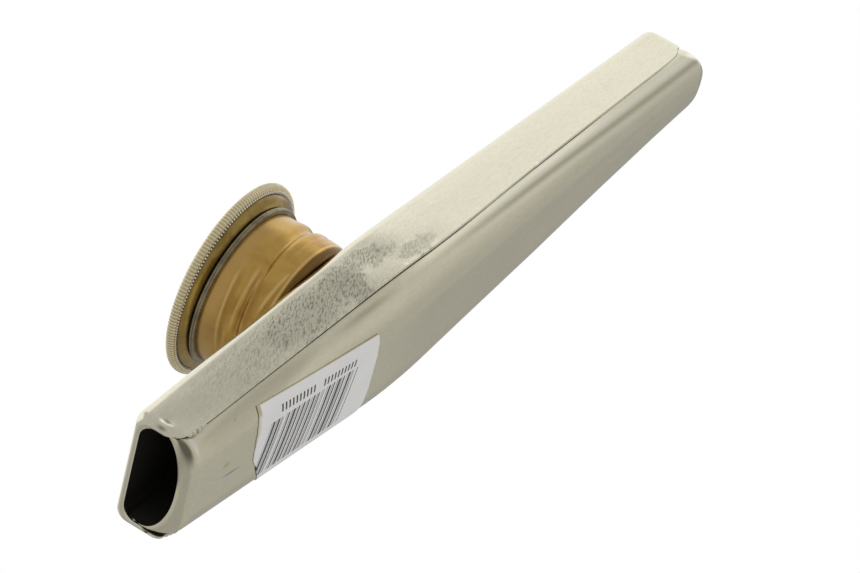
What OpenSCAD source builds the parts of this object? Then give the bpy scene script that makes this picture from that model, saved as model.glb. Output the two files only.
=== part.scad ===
/* Metal kazoo: two pressed tinplate shells, a threaded collar on the top plate,
   and a flared cap that screws into the collar and holds a membrane down.
   +X runs from the mouth to the outlet, +Z out of the top plate.
   The origin is under the middle of the body, on the surface it lies on. */

/* [Body] */
// Length of the top plate over both rolled lips
plate_len = 121; // [100:1:150]
// How far the trough's bottom stands out past the top plate at the outlet
overhang = 3.4; // [0:0.1:4]
// Length over which the trough draws out to its overhang
overhang_run = 12; // [8:1:20]
// Distance from the mouth to the widest place
widest_at = 45; // [38:0.5:55]
// Length over which the body bends at its widest place
bend_len = 14; // [8:1:20]
// Width over the flanges at the mouth
mouth_w = 16.5; // [15:0.1:18]
// Width over the flanges at the widest place
widest_w = 20.2; // [19:0.1:24]
// Width over the flanges at the outlet
outlet_w = 13.4; // [12.5:0.1:16]
// Depth from the top plate to the bottom at the mouth
mouth_d = 9.6; // [9:0.1:12]
// Depth from the top plate to the bottom at the widest place
widest_d = 11.6; // [10.5:0.1:14]
// Depth from the top plate to the bottom at the outlet
outlet_d = 8.6; // [8.4:0.1:11]
// Thickness of the tinplate
sheet = 0.4; // [0.3:0.05:0.5]
// Radius of the top plate's long edges
edge_r = 1.3; // [1:0.1:2]
// Radius of the trough's long bottom edges
trough_r = 5; // [3:0.1:5.5]

/* [Seam] */
// Depth of the flange's edge below the top plate at the mouth
mouth_seam = 7; // [5:0.1:7.2]
// Depth of the flange's edge at the widest place
widest_seam = 8; // [5:0.1:8.5]
// Depth of the flange's edge at the outlet
outlet_seam = 6.4; // [5.2:0.1:6.8]
// Depth of the flange's edge on the mouth's lip
mouth_lip_seam = 4.2; // [3.4:0.1:4.5]
// Depth of the flange's edge on the outlet's lip
outlet_lip_seam = 4.9; // [3.4:0.1:5.2]
// Length over which the flange's edge rises towards a lip
seam_rise = 5; // [2:0.5:8]
// Gap between the flanges and the trough's sides
seam_gap = 0.07; // [0.05:0.01:0.1]

/* [Lips] */
// How far the lips stand in from the top plate
lip_top = 1.2; // [0.8:0.1:1.5]
// How far the mouth's lip stands in from the sides
mouth_lip_side = 1; // [0.8:0.1:1.4]
// How far the outlet's lip stands in from the sides
outlet_lip_side = 1.4; // [0.8:0.1:1.6]
// How far the mouth's lip stands in from the bottom
mouth_lip_bottom = 3.3; // [2:0.1:3.5]
// How far the outlet's lip stands in from the bottom
outlet_lip_bottom = 1.2; // [0.8:0.1:1.8]
// Length over which the lips roll in
lip_len = 1.6; // [1.2:0.1:2.5]
// Angle through which the lips are rolled
lip_turn = 115; // [90:5:120]
// Radius of the openings' upper corners
lip_upper_r = 2; // [1.5:0.1:2.5]
// Radius of the openings' lower corners
lip_lower_r = 4.7; // [3.5:0.1:4.8]

/* [Collar] */
// Distance from the mouth to the collar's axis
turret_at = 39; // [34:0.5:50]
// Radius of the collar's outside over its thread
collar_r = 10.5; // [9.8:0.1:11.5]
// Height of the collar above the top plate
collar_h = 9.5; // [8.5:0.1:12]
// Thickness of the collar's and the cap's sheet
thin_sheet = 0.3; // [0.25:0.05:0.4]
// Radius of the curl at the collar's foot
foot_curl = 1.5; // [1:0.1:2]
// Radius of the hole through the top plate
sound_hole_r = 7.4; // [6:0.1:7.4]
// Radius of the opening in the collar's turned-in foot
foot_hole_r = 7.6; // [7.5:0.1:7.8]

/* [Thread] */
// Pitch of the rolled thread
pitch = 2.7; // [2:0.1:3.2]
// Depth of the rolled thread
thread_depth = 0.4; // [0.3:0.05:0.6]
// Height above the top plate at which the thread starts
thread_from = 2.5; // [1:0.1:3]
// Height above the top plate at which the thread ends
thread_to = 8; // [6:0.1:8.2]
// Angle at which a groove crosses the plane of the top plate
thread_start = 15; // [0:5:360]
// Radial clearance between the collar's and the cap's thread
thread_gap = 0.2; // [0.15:0.01:0.3]

/* [Bead ring] */
// Outer radius of the ring round the collar's mouth
ring_r = 11.2; // [11:0.1:12.3]
// Thickness of the ring's bead
ring_bead = 0.7; // [0.5:0.05:0.7]
// Gap between the ring and the collar
ring_gap = 0.04; // [0.03:0.01:0.08]

/* [Cap] */
// Outer radius of the knurled rim
rim_r = 13.4; // [13.2:0.1:15]
// Height of the rim's top above the top plate
rim_top = 12.2; // [12:0.1:15]
// Width of the rim's hem
hem_w = 1; // [0.9:0.1:1.3]
// Height of the rim's hem
hem_h = 1.3; // [1.1:0.1:1.5]
// Gap between the flare and the ring below it
flare_gap = 0.15; // [0.1:0.01:0.3]
// Inner radius of the cap's turned-in end
cap_hole_r = 8; // [7.8:0.1:8.2]

/* [Membrane] */
// Thickness of the membrane
membrane_t = 0.15; // [0.1:0.01:0.2]
// Radius of the membrane
membrane_r = 8.4; // [8.2:0.05:8.45]
// Outer radius of the membrane's ring
membrane_ring_r = 8.8; // [8.7:0.05:8.9]
// Inner radius of the membrane's ring
membrane_ring_in = 7.7; // [7.6:0.05:7.8]
// Height of the membrane's ring
membrane_ring_h = 0.8; // [0.6:0.05:0.8]
// Gap above and below the membrane's ring, and round the membrane
seat_gap = 0.03; // [0.02:0.01:0.05]
// Gap between the cap's turned-in end and the membrane's ring
press_gap = 0.12; // [0.08:0.01:0.2]

/* [Label] */
// Distance from the mouth to the label's near upper corner
label_at = 14; // [10:0.5:14.5]
// Distance of that corner round the trough, from the top plate
label_from = 9.2; // [8.5:0.1:12]
// Length of the label
label_len = 23.5; // [15:0.5:24]
// Height of the label, round the trough
label_h = 14; // [8:0.5:15]
// How far the label's near lower corner is torn back
label_tear = 3.9; // [0:0.1:5]
// Angle at which the label is stuck on
label_skew = 7.5; // [0:0.5:12]
// Thickness of the paper
label_t = 0.1; // [0.08:0.01:0.15]
// Gap between the paper and the trough
label_gap = 0.03; // [0.02:0.01:0.05]

/* [Solder] */
// Distance from the mouth to the solder tacks
tack_at = 3.5; // [3:0.5:10]
// Radius of a tack
tack_r = 0.5; // [0.4:0.05:0.8]
// How far a tack stands out of the trough's side
tack_h = 0.3; // [0.2:0.05:0.35]

/* [Hidden] */

// Segments of the round holes and rings
fine = 96;
// Segments of a turn of the collar and the cap
turns_steps = 48;
lip_steps = 5;
bend_steps = 4;
edge_steps = 4;
trough_steps = 8;
sheet_step = sheet + seam_gap;
mid = (plate_len + overhang) / 2;
turret_x = turret_at - mid;

function lerp(a, b, t) = a + (b - a) * t;
function flat(list) = [for (row = list) each row];

// Straight taper from the widest place each way, rounded over the bend
function taper(x, at_mouth, at_widest, at_outlet) =
    let (rise = (at_widest - at_mouth) / widest_at,
         fall = (at_outlet - at_widest) / (plate_len - widest_at),
         u = x - widest_at,
         b = bend_len / 2)
    u < -b ? at_widest + rise * u
    : u > b ? at_widest + fall * u
    : at_widest + rise * u + (fall - rise) * pow(u + b, 2) / (4 * b);

// A rib is [distance from the mouth, angle through which a lip has turned, side of the body]
mouth_ribs = [for (i = [lip_steps:-1:0]) [lip_len, lip_turn * i / lip_steps, -1]];
outlet_ribs = [for (i = [0:lip_steps]) [plate_len - lip_len, lip_turn * i / lip_steps, 1]];
bend_ribs = [for (i = [0:bend_steps]) [widest_at + bend_len * (i / bend_steps - 0.5), 0, 0]];
near_ribs = [[lip_len + seam_rise / 3, 0, 0],
             [lip_len + seam_rise * 2 / 3, 0, 0],
             [lip_len + seam_rise, 0, 0]];
far_ribs = [for (i = [2:-1:0]) [plate_len - near_ribs[i][0], 0, 0]];
ribs = concat(mouth_ribs, near_ribs, bend_ribs, [[(widest_at + plate_len) / 2, 0, 0]],
              far_ribs, outlet_ribs);

function half_w(x) = taper(x, mouth_w, widest_w, outlet_w) / 2;
function depth(x) = taper(x, mouth_d, widest_d, outlet_d);
plate_z = max([for (rib = ribs) depth(rib[0])]);

// Share of a lip's full inset that it has reached at an angle of its turn
function lip_share(turn) = (1 - cos(turn)) / (1 - cos(lip_turn));

// Depth of the flange's edge, which makes this share of its rise before it reaches a lip
seam_lift = 0.1;
function lip_seam(x) = x < widest_at ? mouth_lip_seam : outlet_lip_seam;
function seam(x) =
    let (near = min(x, plate_len - x) - lip_len,
         t = max(0, 1 - near / seam_rise),
         plain = taper(x, mouth_seam, widest_seam, outlet_seam))
    plain - (plain - lip_seam(x)) * seam_lift * t * t;

// Section of the body at a rib, a distance in from the flanges' outer face:
// [x, half width, top, bottom, upper radius, lower radius, seam]
function section(rib, in) =
    let (x = rib[0], turn = rib[1], side = rib[2],
         q = lip_share(turn),
         c = in * cos(turn),
         w = half_w(x), d = depth(x),
         upper_r = lerp(min(edge_r, w / 2), lip_upper_r, q),
         lower_r = lerp(min(trough_r + sheet_step, w - 1), lip_lower_r, q),
         reach = (lip_len - in) * sin(turn))
    [x + side * reach - mid,
     w - (side < 0 ? mouth_lip_side : outlet_lip_side) * q - c,
     -lip_top * q - c,
     -d - sheet_step + (side < 0 ? mouth_lip_bottom : outlet_lip_bottom) * q + c,
     max(0.2, upper_r - c),
     max(0.2, lower_r - c),
     -lerp(seam(x), lip_seam(x), q)];

// Points of the flanges and the top plate, from one flange's edge to the other's
function upper_path(s) =
    let (x = s[0], w = s[1], top = s[2], r = s[4])
    concat([[x, -w, s[6]]],
           [for (i = [0:edge_steps]) let (a = 180 - 90 * i / edge_steps)
               [x, -w + r + r * cos(a), top - r + r * sin(a)]],
           [for (i = [0:edge_steps]) let (a = 90 - 90 * i / edge_steps)
               [x, w - r + r * cos(a), top - r + r * sin(a)]],
           [[x, w, s[6]]]);

// How far the trough is drawn out past the top plate, at a height and a section
function drawn(s, z) =
    let (run = max(0, 1 - (mid - overhang - sheet_step - s[0]) / overhang_run),
         share = max(0, min(1, (s[6] - z) / (s[6] - s[3]))))
    (overhang + sheet_step) * run * run * share;

// Points of the trough, from the top of one side down and round to the top of the other
function lower_path(s) =
    let (x = s[0], w = s[1], bottom = s[3], r = s[5], top = s[2] - s[4] - sheet)
    concat([[x, w, top]],
           [for (i = [0:trough_steps])
               let (a = -90 * i / trough_steps, z = bottom + r + r * sin(a))
               [x + drawn(s, z), w - r + r * cos(a), z]],
           [for (i = [0:trough_steps])
               let (a = -90 - 90 * i / trough_steps, z = bottom + r + r * sin(a))
               [x + drawn(s, z), -w + r + r * cos(a), z]],
           [[x, -w, top]]);

// Closed skin between two grids of points; rows run along X, columns round the section
module skin(outside, inside) {
    n = len(outside);
    m = len(outside[0]);
    far = n * m;
    function quad(a, b, c, d) = [[a, b, c], [a, c, d]];
    outer_faces = [for (i = [0:n - 2], j = [0:m - 2])
        each quad(i * m + j, i * m + j + 1, (i + 1) * m + j + 1, (i + 1) * m + j)];
    inner_faces = [for (i = [0:n - 2], j = [0:m - 2])
        each quad(far + i * m + j, far + (i + 1) * m + j, far + (i + 1) * m + j + 1, far + i * m + j + 1)];
    first_edge = [for (i = [0:n - 2])
        each quad(i * m, (i + 1) * m, far + (i + 1) * m, far + i * m)];
    last_edge = [for (i = [0:n - 2])
        each quad(i * m + m - 1, far + i * m + m - 1, far + (i + 1) * m + m - 1, (i + 1) * m + m - 1)];
    near_end = [for (j = [0:m - 2])
        each quad(j, far + j, far + j + 1, j + 1)];
    far_end = [for (j = [0:m - 2]) let (k = (n - 1) * m + j)
        each quad(k, k + 1, far + k + 1, far + k)];
    polyhedron(concat(flat(outside), flat(inside)),
               concat(outer_faces, inner_faces, first_edge, last_edge, near_end, far_end));
}

// Closed skin of a profile turned about Z; rings[k] is the profile at step k of a full turn
module turned_skin(rings) {
    n = len(rings);
    m = len(rings[0]);
    faces = [for (k = [0:n - 1], j = [0:m - 1])
        let (a = k * m + j, b = k * m + (j + 1) % m,
             c = ((k + 1) % n) * m + (j + 1) % m, d = ((k + 1) % n) * m + j)
        each [[a, b, c], [a, c, d]]];
    polyhedron(flat(rings), faces);
}

function ring_points(profile, angle) =
    [for (p = profile) [p[0] * cos(angle), p[0] * sin(angle), p[1]]];

// How deep the groove of the rolled thread is, from 0 to 1, at an angle and height
groove_sharpness = 2.4;
function groove(angle, z) = pow((1 + cos(360 * z / pitch - angle - thread_start)) / 2, groove_sharpness);
fade_len = 1;
function fade(z) =
    let (t = max(0, min(1, (z - thread_from) / fade_len, (thread_to - z) / fade_len)))
    t * t * (3 - 2 * t);

thread_rows = 15;
function rows(from, to) = [for (i = [0:thread_rows]) lerp(from, to, i / thread_rows)];

module upper_shell() {
    color([0.80, 0.79, 0.71])
    difference() {
        translate([0, 0, plate_z])
            skin([for (rib = ribs) upper_path(section(rib, 0))],
                 [for (rib = ribs) upper_path(section(rib, sheet))]);
        translate([turret_x, 0, plate_z - 2 * sheet])
            cylinder(r = sound_hole_r, h = 4 * sheet, $fn = fine);
    }
}

module lower_shell() {
    color([0.64, 0.63, 0.54])
    translate([0, 0, plate_z])
        skin([for (rib = ribs) lower_path(section(rib, sheet_step))],
             [for (rib = ribs) lower_path(section(rib, sheet_step + sheet))]);
}

// Drops of solder on the trough's rounded sides, just under the flanges' edges
module solder_tacks() {
    lean = atan((widest_w - mouth_w) / 2 / widest_at);
    s = section([tack_at, 0, 0], sheet_step);
    r = s[5] + seam_gap;
    z = -seam(tack_at) - tack_r - seam_gap;
    round_from = s[3] + s[5];
    tilt = asin(max(0, (round_from - z) / r));
    color([0.75, 0.74, 0.70])
    for (side = [-1, 1])
        translate([s[0], side * (s[1] - s[5] + r * cos(tilt)), plate_z + z])
            rotate([-side * tilt, 0, side * lean])
                intersection() {
                    translate([0, side * (tack_h - tack_r), 0])
                        sphere(r = tack_r, $fn = 48);
                    translate([-tack_r, side > 0 ? 0 : -tack_r, -tack_r])
                        cube([2 * tack_r, tack_r, 2 * tack_r]);
                }
}

// The collar's wall, with its foot curled in onto the top plate
function collar_profile(angle) =
    let (foot_r = collar_r - foot_curl,
         in = foot_curl - thin_sheet,
         walls = rows(foot_curl, collar_h))
    concat([[foot_hole_r, 0]],
           [for (a = [-90:22.5:-22.5]) [foot_r + foot_curl * cos(a), foot_curl + foot_curl * sin(a)]],
           [for (z = walls) [collar_r - thread_depth * groove(angle, z) * fade(z), z]],
           [for (i = [thread_rows:-1:0]) let (z = walls[i])
               [collar_r - thin_sheet - thread_depth * groove(angle, z) * fade(z), z]],
           [for (a = [-22.5:-22.5:-90]) [foot_r + in * cos(a), foot_curl + in * sin(a)]],
           [[foot_hole_r, thin_sheet]]);

module collar() {
    color([0.72, 0.53, 0.28])
    translate([turret_x, 0, plate_z])
        turned_skin([for (k = [0:turns_steps - 1]) let (a = 360 * k / turns_steps)
            ring_points(collar_profile(a), a)]);
}

// Tin ring round the collar's mouth: a bead outside and a flange over the collar's edge
ring_flange = 0.3;
ring_top = collar_h + ring_gap + ring_flange;
module bead_ring() {
    color([0.49, 0.47, 0.42])
    translate([turret_x, 0, plate_z])
        rotate_extrude($fn = fine)
            difference() {
                union() {
                    translate([ring_r - ring_bead / 2, ring_top - ring_bead / 2])
                        circle(d = ring_bead, $fn = 24);
                    translate([collar_r - thin_sheet, ring_top - ring_flange])
                        square([ring_r - ring_bead / 2 - collar_r + thin_sheet, ring_flange]);
                }
                translate([0, ring_top - ring_bead - 1])
                    square([collar_r + ring_gap, ring_bead + 1 - ring_flange]);
            }
}

ring_bottom = thin_sheet + seat_gap;
membrane_z = ring_bottom + membrane_ring_h / 2;
module membrane_ring() {
    color([0.62, 0.60, 0.55])
    translate([turret_x, 0, plate_z])
        difference() {
            translate([0, 0, ring_bottom])
                cylinder(r = membrane_ring_r, h = membrane_ring_h, $fn = fine);
            translate([0, 0, ring_bottom - 1])
                cylinder(r = membrane_ring_in, h = membrane_ring_h + 2, $fn = fine);
            translate([0, 0, membrane_z - membrane_t / 2 - seat_gap])
                cylinder(r = membrane_r + seat_gap, h = membrane_t + 2 * seat_gap, $fn = fine);
        }
}

module membrane() {
    color([0.88, 0.84, 0.72])
    translate([turret_x, 0, plate_z + membrane_z - membrane_t / 2])
        cylinder(r = membrane_r, h = membrane_t, $fn = fine);
}

// The cap is one sheet: a turned-in end, a threaded skirt, a flare and a rolled hem
skirt_root = collar_r - thin_sheet - thread_depth - thread_gap;
skirt_end = ring_bottom + membrane_ring_h + press_gap;
skirt_from = skirt_end + thin_sheet;
skirt_to = collar_h;
flare_z = ring_top + flare_gap;
hem_r = rim_r - hem_w / 2;
hem_z = rim_top - hem_h / 2;
function skirt_r(angle, z) = skirt_root + thread_depth * (1 - groove(angle, z)) * fade(z);

function cap_profile(angle) =
    let (walls = rows(skirt_from, skirt_to),
         brink = hem_r - 0.42 * hem_w,
         brink_z = hem_z - 0.3 * hem_h,
         cove = ring_r - 0.2)
    concat([[cap_hole_r, skirt_end], [skirt_root - thin_sheet, skirt_end]],
           [for (z = walls) [skirt_r(angle, z), z]],
           [[skirt_root + 0.15, flare_z - 0.1], [skirt_root + 0.5, flare_z],
            [cove, flare_z + 0.05],
            [lerp(cove, brink, 0.5), lerp(flare_z, brink_z, 0.28)],
            [lerp(cove, brink, 0.85), lerp(flare_z, brink_z, 0.66)]],
           [for (a = [-150:30:150]) [hem_r + hem_w / 2 * cos(a), hem_z + hem_h / 2 * sin(a)]],
           [[brink - 0.1, hem_z],
            [lerp(cove, brink, 0.75), lerp(flare_z, brink_z, 0.62) + thin_sheet],
            [lerp(cove, brink, 0.35), lerp(flare_z, brink_z, 0.2) + thin_sheet],
            [cove - 0.1, flare_z + thin_sheet + 0.03],
            [skirt_root + 0.3, flare_z + thin_sheet],
            [skirt_root - 0.15, flare_z + 0.1]],
           [for (i = [thread_rows:-1:0]) let (z = walls[i]) [skirt_r(angle, z) - thin_sheet, z]],
           [[cap_hole_r, skirt_end + thin_sheet]]);

module screw_cap() {
    color([0.66, 0.60, 0.38])
    translate([turret_x, 0, plate_z])
        turned_skin([for (k = [0:turns_steps - 1]) let (a = 360 * k / turns_steps)
            ring_points(cap_profile(a), a)]);
}

// Point on the trough's outside, a distance round it from the top plate, and out from it
function on_trough(x, round, out) =
    let (s = section([x, 0, 0], sheet_step), w = s[1], bottom = s[3], r = s[5],
         arc = r * PI / 2,
         base = 2 * (w - r),
         over = round + bottom + r,
         a = max(0, min(90, 90 * over / arc)),
         along = max(0, min(base, over - arc)),
         b = max(0, min(90, 90 * (over - arc - base) / arc)))
    [s[0],
     -w + r - (r + out) * cos(a) + along + (r + out) * sin(b),
     over < 0 ? -round : bottom + r - (r + out) * (sin(a) + cos(b) - 1)];

// The label's near edge runs straight, and then back along the tear
label_cols = 8;
label_rows = 16;
tear_from = 0.25;
function label_grid(out) =
    [for (i = [0:label_cols])
        [for (j = [label_rows:-1:0])
            let (share = j / label_rows,
                 near = label_tear * max(0, share - tear_from) / (1 - tear_from),
                 u = lerp(near, label_len, i / label_cols),
                 v = label_h * share)
            on_trough(label_at + u * cos(label_skew) - v * sin(label_skew),
                      label_from + u * sin(label_skew) + v * cos(label_skew), out)]];

module label() {
    color([0.86, 0.86, 0.86])
    translate([0, 0, plate_z])
        skin(label_grid(label_gap + label_t), label_grid(label_gap));
}

upper_shell();
lower_shell();
solder_tacks();
collar();
bead_ring();
membrane();
membrane_ring();
screw_cap();
label();
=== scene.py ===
# A pressed-metal kazoo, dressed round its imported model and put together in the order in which
# the real one is: the two shells, the turret on them, the membrane, the cap and the label.
# Sizes are in millimetres, measured along the body from the mouth and up from the top plate.
import math

import bmesh
import bpy
import numpy as np
from mathutils import Matrix, Vector, noise


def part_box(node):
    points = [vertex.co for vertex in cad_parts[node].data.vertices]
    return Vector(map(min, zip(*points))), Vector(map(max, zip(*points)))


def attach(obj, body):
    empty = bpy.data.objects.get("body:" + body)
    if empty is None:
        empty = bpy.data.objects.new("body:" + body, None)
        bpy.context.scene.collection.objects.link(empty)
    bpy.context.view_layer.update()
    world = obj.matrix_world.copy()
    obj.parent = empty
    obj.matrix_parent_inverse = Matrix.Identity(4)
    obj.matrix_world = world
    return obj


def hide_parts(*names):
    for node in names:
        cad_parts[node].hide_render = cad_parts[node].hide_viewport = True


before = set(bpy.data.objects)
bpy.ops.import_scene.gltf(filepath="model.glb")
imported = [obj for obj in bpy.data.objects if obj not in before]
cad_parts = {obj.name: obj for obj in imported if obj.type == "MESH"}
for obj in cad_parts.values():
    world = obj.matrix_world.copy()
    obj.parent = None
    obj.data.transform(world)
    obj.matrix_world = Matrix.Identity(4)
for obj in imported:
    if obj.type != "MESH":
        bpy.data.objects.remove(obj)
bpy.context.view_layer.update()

# Trough, the lower shell. It is pressed from bright rolled tinplate, its sides stand up inside
# the top shell's flanges, and both its ends are rolled in as the lower half of an opening's lip.
MM = 0.001
PLATE_LEN = 121.0
OVERHANG, OVERHANG_RUN = 3.4, 12.0
MID = (PLATE_LEN + OVERHANG) / 2
WIDEST_AT, BEND_LEN = 45.0, 14.0
# The body's width and depth and the flanges' depth, at the mouth, the widest place and the outlet
WIDTHS, DEPTHS, FLANGES = (16.5, 20.2, 13.4), (9.6, 11.6, 8.6), (7.0, 8.0, 6.4)
# How the flanges' edges sag past the bend, and how their corners at the outlet are rounded off
SAG, SAG_AT, SAG_RUN = 0.3, 60.0, 13.0
CORNER_RISE, CORNER_RUN = 0.5, 1.6
SHEET, SHEET_GAP = 0.4, 0.07
SHEET_STEP = SHEET + SHEET_GAP
EDGE_R, TROUGH_R = 1.3, 5.0
LIP_LEN, LIP_TURN = 1.6, math.radians(115)
# How far each lip stands in from the top, the sides and the bottom, the seam's depth on it, and
# how far its lower corners' curve runs across and up
MOUTH_LIP = {"top": 1.2, "side": 1.0, "bottom": 2.9, "seam": 4.2, "low_y": 6.9, "low_z": 3.6}
OUTLET_LIP = {"top": 1.2, "side": 1.4, "bottom": 1.2, "seam": 3.7, "low_y": 4.7, "low_z": 4.2}
LIP_UPPER_R = 2.0
SEAM_RISE, SEAM_LIFT = 5.0, 0.1
PLATE_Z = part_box("upper_shell")[1].z / MM


def taper(x, at_mouth, at_widest, at_outlet):
    """A size that tapers straight from the widest place each way, rounded over the bend."""
    rise = (at_widest - at_mouth) / WIDEST_AT
    fall = (at_outlet - at_widest) / (PLATE_LEN - WIDEST_AT)
    u, b = x - WIDEST_AT, BEND_LEN / 2
    if u < -b:
        return at_widest + rise * u
    if u > b:
        return at_widest + fall * u
    return at_widest + rise * u + (fall - rise) * (u + b) ** 2 / (4 * b)


def half_width(x):
    return taper(x, *WIDTHS) / 2


def flange_edge(x):
    """Depth of the flange's edge, which sags past the bend and is rounded off at the outlet."""
    at_lip = MOUTH_LIP["seam"] if x < WIDEST_AT else OUTLET_LIP["seam"]
    near = min(x, PLATE_LEN - x) - LIP_LEN
    rising = max(0.0, 1 - near / SEAM_RISE)
    plain = taper(x, *FLANGES) + SAG * math.exp(-((x - SAG_AT) / SAG_RUN) ** 2)
    corner = CORNER_RISE * max(0.0, 1 - (PLATE_LEN - LIP_LEN - x) / CORNER_RUN) ** 2
    return plain - (plain - at_lip) * SEAM_LIFT * rising ** 2 - corner


def blend(a, b, share):
    return a + (b - a) * share


def section(x, turn, end, inset):
    """The body's cross-section where a lip has rolled through turn, inset from the flanges."""
    rolled = (1 - math.cos(turn)) / (1 - math.cos(LIP_TURN))
    in_now = inset * math.cos(turn)
    lip = MOUTH_LIP if end < 0 else OUTLET_LIP
    return {
        "x": x + end * (LIP_LEN - inset) * math.sin(turn),
        "w": half_width(x) - lip["side"] * rolled - in_now,
        "top": -lip["top"] * rolled - in_now,
        "bottom": -taper(x, *DEPTHS) - SHEET_STEP + lip["bottom"] * rolled + in_now,
        "upper_r": max(0.2, blend(EDGE_R, LIP_UPPER_R, rolled) - in_now),
        "low_y": max(0.2, blend(TROUGH_R + SHEET_STEP, lip["low_y"], rolled) - in_now),
        "low_z": max(0.2, blend(TROUGH_R + SHEET_STEP, lip["low_z"], rolled) - in_now),
        "seam": -blend(flange_edge(x), lip["seam"], rolled),
    }


def ribs_along(step, lip_steps):
    """Stations down the body: the mouth's lip, the straight run, and the outlet's lip."""
    turns = [LIP_TURN * i / lip_steps for i in range(lip_steps + 1)]
    run = np.linspace(LIP_LEN, PLATE_LEN - LIP_LEN, int(PLATE_LEN / step))
    return ([(LIP_LEN, t, -1) for t in reversed(turns)] + [(x, 0.0, 0) for x in run[1:-1]]
            + [(PLATE_LEN - LIP_LEN, t, 1) for t in turns])


def arc(cy, cz, across, up, start, end, steps):
    angles = np.radians(np.linspace(start, end, steps + 1))
    return [(cy + across * math.cos(a), cz + up * math.sin(a)) for a in angles]


def line(a, b, steps):
    return [(blend(a[0], b[0], i / steps), blend(a[1], b[1], i / steps)) for i in range(steps + 1)]


def pushed(point, marks):
    """How far smooth round marks push the sheet out at a point. Each mark has its centre, its
    reach along each axis, and its height or, below 0, its depth."""
    return sum(tall * math.exp(-sum(((p - c) / r) ** 2 for p, c, r in zip(point, centre, reach)))
               for centre, reach, tall in marks)


def sheet_normals(grid):
    """Unit normals of a grid of points round a tube, pointing away from the tube's middle."""
    n = np.cross(np.gradient(grid, axis=0), np.gradient(grid, axis=1))
    n /= np.maximum(np.linalg.norm(n, axis=2, keepdims=True), 1e-9)
    row, col = grid.shape[0] // 2, grid.shape[1] // 2
    outwards = grid[row, col] - grid[row].mean(axis=0)
    return n if np.sum(n[row, col] * outwards) > 0 else -n


def border_of(rows, cols):
    """The places round the edge of a grid, in order."""
    return ([(0, j) for j in range(cols)] + [(i, cols - 1) for i in range(1, rows)]
            + [(rows - 1, j) for j in range(cols - 2, -1, -1)] + [(i, 0) for i in range(rows - 2, 0, -1)])


def fill_grid(bm, verts):
    """Faces over a grid of vertices."""
    for row, after in zip(verts, verts[1:]):
        for j in range(len(row) - 1):
            bm.faces.new((row[j], row[j + 1], after[j + 1], after[j]))


def band(bm, ring, after):
    """Faces between two closed rings of vertices."""
    for j in range(len(ring)):
        n = (j + 1) % len(ring)
        bm.faces.new((ring[j], ring[n], after[n], after[j]))


# What the attribute "inside" says at each point, and how many sheets a cut edge bulges by
OUTER, CUT_EDGE, INNER = 0.0, 0.3, 1.0
EDGE_BULGE = 0.3


def pressed_sheet(name, grid):
    """A closed piece of sheet from the grid of points on its outside, with rounded cut edges."""
    rows, cols = grid.shape[:2]
    inner = grid - sheet_normals(grid) * SHEET
    bm = bmesh.new()
    inside = bm.verts.layers.float.new("inside")

    def add(points, value):
        made = [bm.verts.new(p * MM) for p in points]
        for v in made:
            v[inside] = value
        return made

    out_v = [add(row, OUTER) for row in grid]
    in_v = [add(row, INNER) for row in inner]
    fill_grid(bm, out_v)
    fill_grid(bm, in_v)
    border = border_of(rows, cols)
    brim = []
    for i, j in border:
        back = (min(max(i, 1), rows - 2), min(max(j, 1), cols - 2))
        out = grid[i, j] - grid[back]
        out = out / max(np.linalg.norm(out), 1e-9)
        brim += add([(grid[i, j] + inner[i, j]) / 2 + out * SHEET * EDGE_BULGE], CUT_EDGE)
    band(bm, [out_v[i][j] for i, j in border], brim)
    band(bm, brim, [in_v[i][j] for i, j in border])
    return finished(name, bm)


def put_in(name, data):
    """A new object in the scene, for a mesh, a lamp or a camera."""
    thing = bpy.data.objects.new(name, data)
    bpy.context.scene.collection.objects.link(thing)
    return thing


def finished(name, bm, sharp=38):
    """The object for a mesh, with its faces turned outwards, smooth but for its sharp edges."""
    bmesh.ops.recalc_face_normals(bm, faces=bm.faces)
    mesh = bpy.data.meshes.new(name)
    bm.to_mesh(mesh)
    bm.free()
    mesh.shade_smooth()
    mesh.set_sharp_from_angle(angle=math.radians(sharp))
    return put_in(name, mesh)


def in_place(x, y, z):
    """A point's place in the object's frame, in millimetres."""
    return np.array([x - MID, y, z + PLATE_Z])


def trough_outside(station):
    x, turn, end = station
    s = section(x, turn, end, SHEET_STEP)
    w, across, up, low = s["w"], s["low_y"], s["low_z"], s["bottom"]
    top = s["top"] - s["upper_r"] - SHEET
    path = (line((w, top), (w, low + up), 8)[:-1]
            + arc(w - across, low + up, across, up, 0, -90, 22)
            + line((w - across, low), (across - w, low), 8)[1:-1]
            + arc(across - w, low + up, across, up, -90, -180, 22)
            + line((-w, low + up), (-w, top), 8)[1:])
    row = []
    for y, z in path:
        run = max(0.0, 1 - (PLATE_LEN - SHEET_STEP - s["x"]) / OVERHANG_RUN)
        share = min(1.0, max(0.0, (s["seam"] - z) / (s["seam"] - low)))
        row.append(in_place(s["x"] + (OVERHANG + SHEET_STEP) * run ** 2 * share, y, z))
    return row


def dented(grid, marks):
    """The grid with each point moved out along the sheet's normal by marks(x, y, z)."""
    n = sheet_normals(grid)
    moved = grid.copy()
    for spot in np.ndindex(grid.shape[:2]):
        moved[spot] += n[spot] * marks(*(grid[spot] - in_place(0, 0, 0)))
    return moved


def wave(x, y, z):
    """A smooth random height, between -1 and 1, that changes over about 1 each way."""
    return noise.noise(Vector((x, y, z)))


# The pinched groove beside the mouth's seam and the ridge behind it
PINCH = [((0.9, -7.6, -7.1), (0.4, 1.2, 1.2), -0.30), ((1.9, -7.7, -7.4), (0.5, 1.3, 1.2), 0.20)]


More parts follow.
